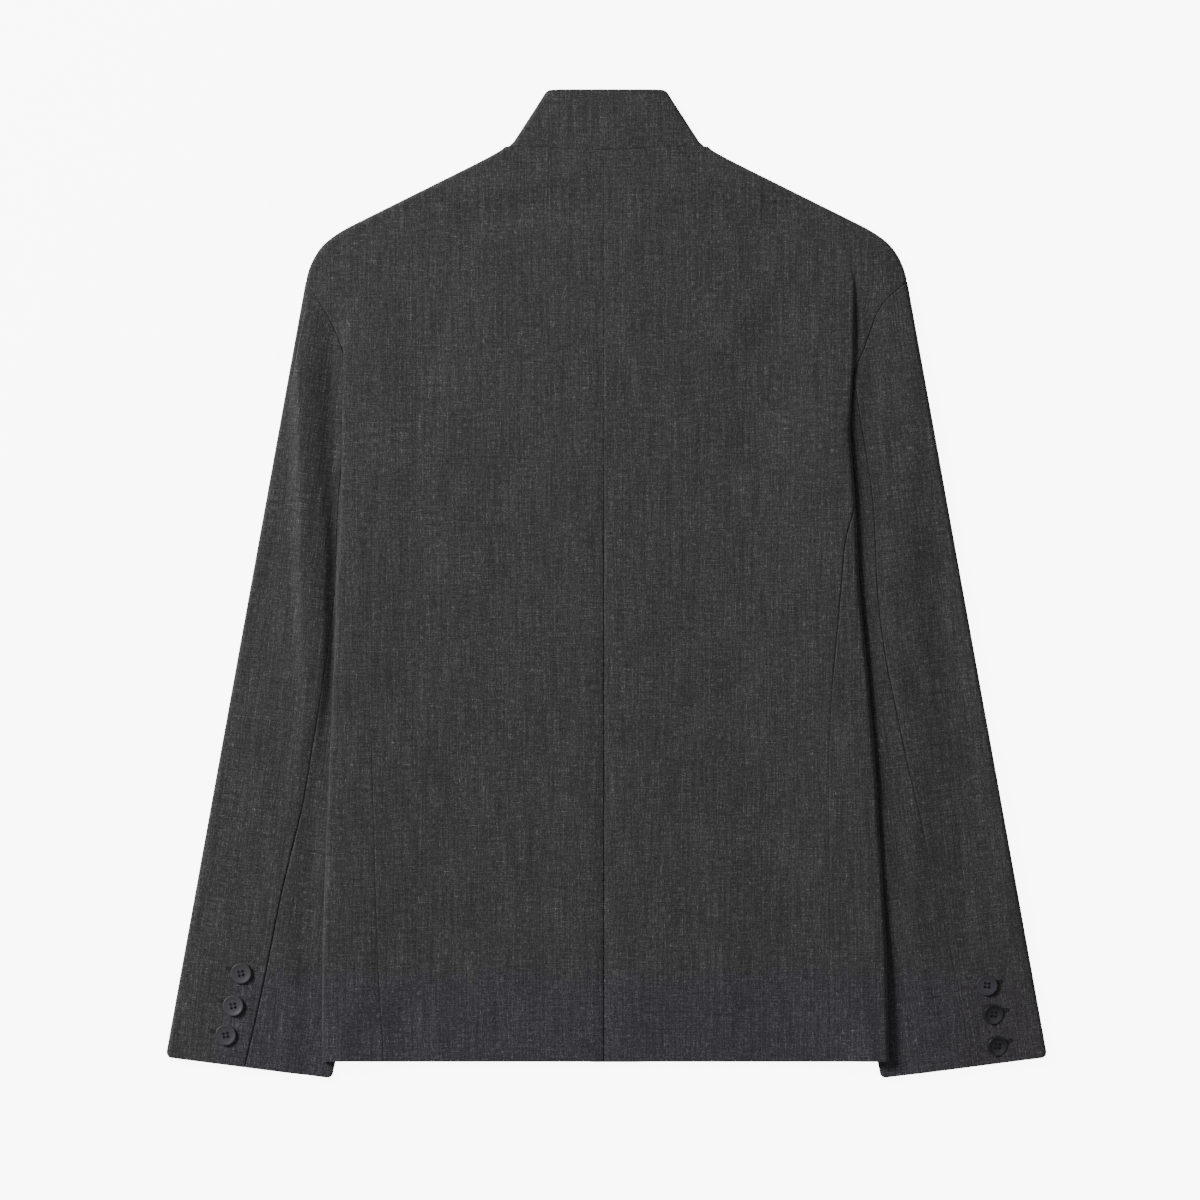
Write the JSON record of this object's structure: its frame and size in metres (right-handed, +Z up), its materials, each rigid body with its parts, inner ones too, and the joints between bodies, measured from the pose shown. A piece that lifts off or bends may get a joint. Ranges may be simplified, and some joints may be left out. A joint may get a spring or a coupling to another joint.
{
  "type": "stand collar blazer",
  "caption": "Tailored jacket with a stand collar, laid flat on its front with its back and the backs of its sleeves up; set-in sleeves, side panels and cuff buttons.",
  "frame": {"origin": "below the middle of the laid garment's box, on the surface it lies on", "axes": "+X to the wearer's right, +Y from hem to collar, +Z up out of the back"},
  "size_m": [0.677, 0.759, 0.0125],
  "materials": {
    "cloth": "matte heathered",
    "buttons": "satin"
  },
  "bodies": {
    "root": {"back_left": "cloth", "side_left": "cloth", "front_left": "cloth", "sleeve_top_left": "cloth", "sleeve_under_left": "cloth", "back_right": "cloth", "side_right": "cloth", "front_right": "cloth", "sleeve_top_right": "cloth", "sleeve_under_right": "cloth", "collar": "cloth", "button_left_1": "buttons", "button_left_2": "buttons", "button_left_3": "buttons", "button_right_1": "buttons", "button_right_2": "buttons", "button_right_3": "buttons"}
  },
  "joints": []
}
